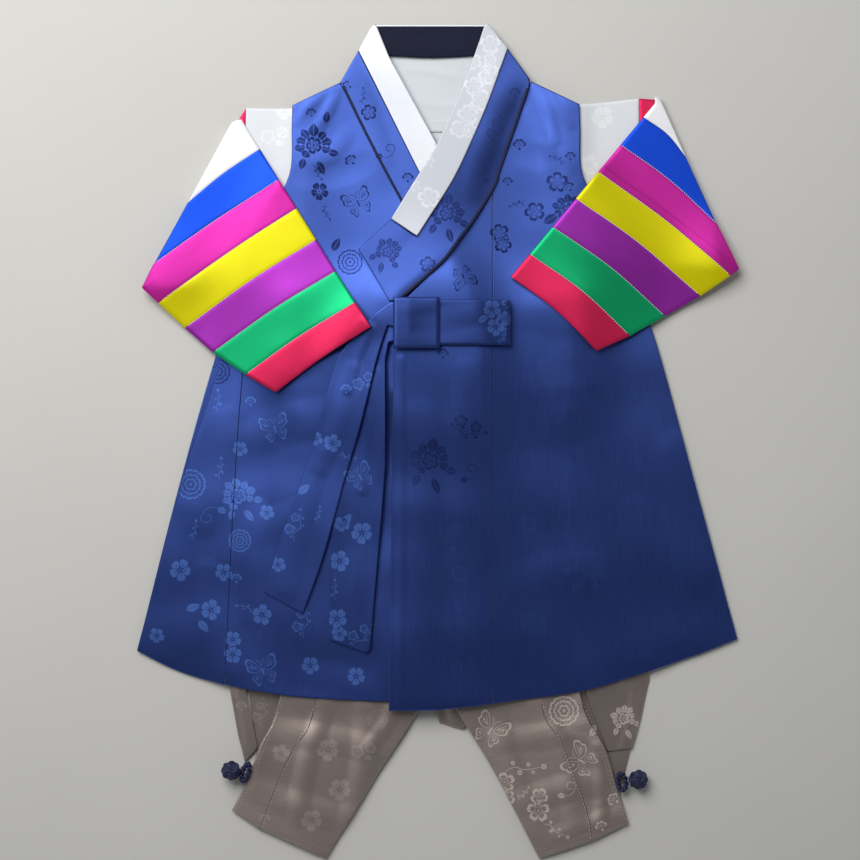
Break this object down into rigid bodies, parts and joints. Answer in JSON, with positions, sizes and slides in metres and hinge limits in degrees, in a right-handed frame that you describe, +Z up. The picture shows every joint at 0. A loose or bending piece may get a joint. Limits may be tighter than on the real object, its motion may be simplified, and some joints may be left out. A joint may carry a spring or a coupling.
{
  "type": "korean hanbok",
  "caption": "Child's Korean hanbok laid flat: blue sleeveless overcoat with a tied bow, white jacket with rainbow-striped sleeves turned back over the front, taupe trousers.",
  "frame": {"origin": "on the underside of the overcoat's back, near the middle of the laid garment", "axes": "+Y from hem to neck, +X to the wearer's left sleeve as laid, +Z up from the surface"},
  "size_m": [0.5125, 0.7113, 0.0299],
  "materials": {
    "coat_blue": "satin damask with tone-on-tone flowers",
    "collar_white": "white damask",
    "cord_navy": "braided cord",
    "facing_navy": "matte satin",
    "jacket_white": "plain white silk",
    "piping_navy": "matte cord edge",
    "sleeve_white": "white damask and satin",
    "stripe_blue": "plain satin",
    "stripe_green": "plain satin",
    "stripe_magenta": "plain satin",
    "stripe_purple": "plain satin",
    "stripe_red": "plain satin",
    "stripe_yellow": "plain satin",
    "tie_blue": "satin damask",
    "trouser_taupe": "satin damask with pale flowers"
  },
  "bodies": {
    "root": {"collar_over": "coat_blue", "collar_under": "coat_blue", "gusset": "trouser_taupe", "jacket_back": "jacket_white", "jacket_front_over": "jacket_white", "jacket_front_under": "jacket_white", "jacket_neck_band": "jacket_white", "knot_ball_left": "cord_navy", "knot_ball_right": "cord_navy", "knot_loop_left": "cord_navy", "knot_loop_right": "cord_navy", "leg_back_left": "trouser_taupe", "leg_back_right": "trouser_taupe", "leg_main_left": "trouser_taupe", "leg_main_right": "trouser_taupe", "leg_side_left": "trouser_taupe", "leg_side_right": "trouser_taupe", "neck_facing": "facing_navy", "piping_over": "piping_navy", "piping_under": "piping_navy", "side_flap_left": "trouser_taupe", "side_flap_right": "trouser_taupe", "sleeve_blue_left": "stripe_blue", "sleeve_blue_right": "stripe_blue", "sleeve_cuff_left": "stripe_red", "sleeve_cuff_right": "stripe_red", "sleeve_green_left": "stripe_green", "sleeve_green_right": "stripe_green", "sleeve_head_left": "sleeve_white", "sleeve_head_right": "sleeve_white", "sleeve_inner_red_left": "stripe_red", "sleeve_inner_red_right": "stripe_red", "sleeve_lower_blue_left": "stripe_blue", "sleeve_lower_blue_right": "stripe_blue", "sleeve_lower_white_left": "sleeve_white", "sleeve_lower_white_right": "sleeve_white", "sleeve_magenta_left": "stripe_magenta", "sleeve_magenta_right": "stripe_magenta", "sleeve_purple_left": "stripe_purple", "sleeve_purple_right": "stripe_purple", "sleeve_white_left": "sleeve_white", "sleeve_white_right": "sleeve_white", "sleeve_yellow_left": "stripe_yellow", "sleeve_yellow_right": "stripe_yellow", "strip_back": "collar_white", "strip_over": "collar_white", "strip_under": "collar_white", "tie_knot": "tie_blue", "tie_loop": "tie_blue", "tie_tail_long": "tie_blue", "tie_tail_short": "tie_blue", "vest_back": "coat_blue", "vest_front_gore": "coat_blue", "vest_front_over": "coat_blue", "vest_front_under": "coat_blue", "vest_side_gore": "coat_blue", "waistband": "trouser_taupe"}
  },
  "joints": []
}
